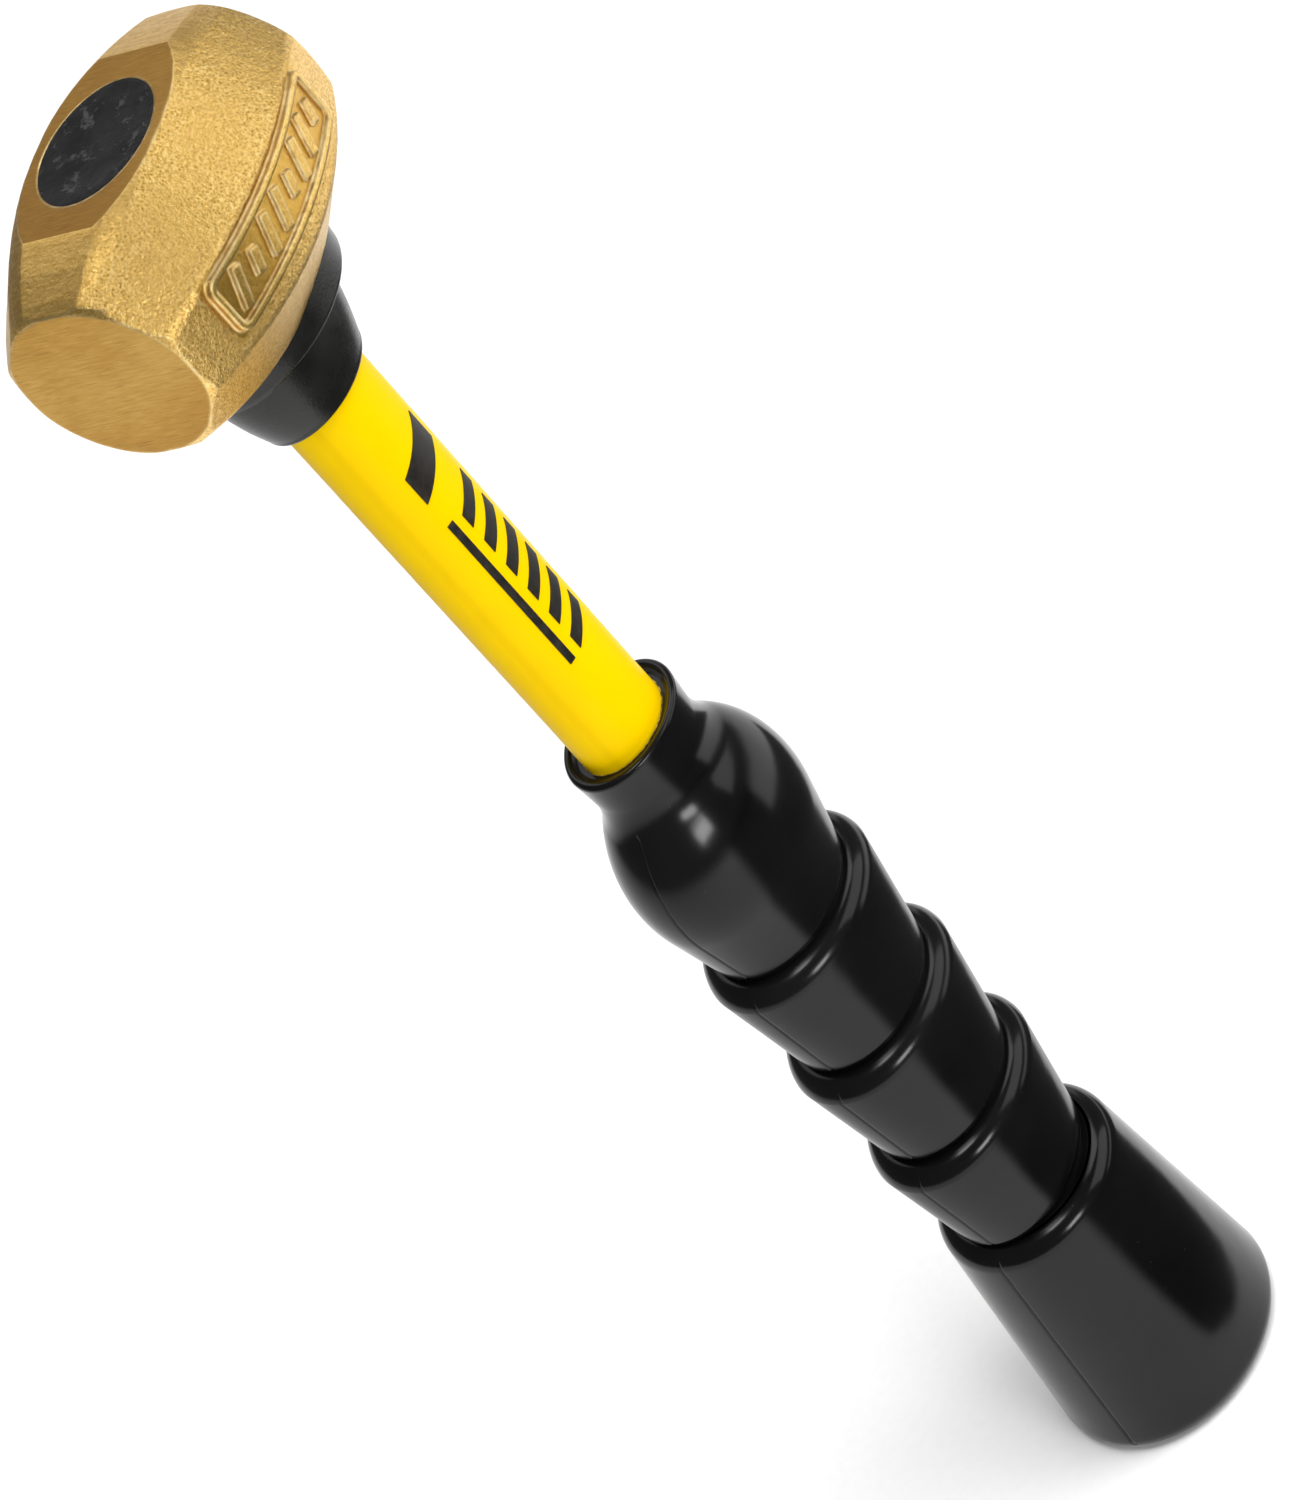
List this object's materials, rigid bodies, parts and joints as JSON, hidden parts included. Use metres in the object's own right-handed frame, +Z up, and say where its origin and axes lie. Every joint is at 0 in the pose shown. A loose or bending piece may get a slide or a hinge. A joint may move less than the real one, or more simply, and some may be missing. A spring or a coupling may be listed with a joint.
{
  "type": "brass hand hammer",
  "caption": "Short double-faced hand hammer: a bowed cast brass head on an oval fibreglass handle with a strike collar and a stepped rubber grip.",
  "frame": {"origin": "centre of the grip's flat butt face", "axes": "+Z up the handle from the butt to the head; the head strikes along X; the raised panel on the head faces -Y"},
  "size_m": [0.0584, 0.0431, 0.321],
  "materials": {
    "cast_brass": "sand-cast, with the top and the faces ground",
    "epoxy": "poured, slightly dished",
    "glass_fibre": "pultruded rod",
    "jacket": "smooth extruded jacket",
    "collar": "moulded, satin",
    "grip": "moulded, polished",
    "adhesive": "set adhesive",
    "ink": "printed film"
  },
  "bodies": {
    "root": {"head": "cast_brass", "eye_epoxy": "epoxy", "core_rod": "glass_fibre", "shaft_jacket": "jacket", "strike_collar": "collar", "grip_sleeve": "grip", "grip_adhesive": "adhesive", "shaft_mark": "ink"}
  },
  "joints": []
}
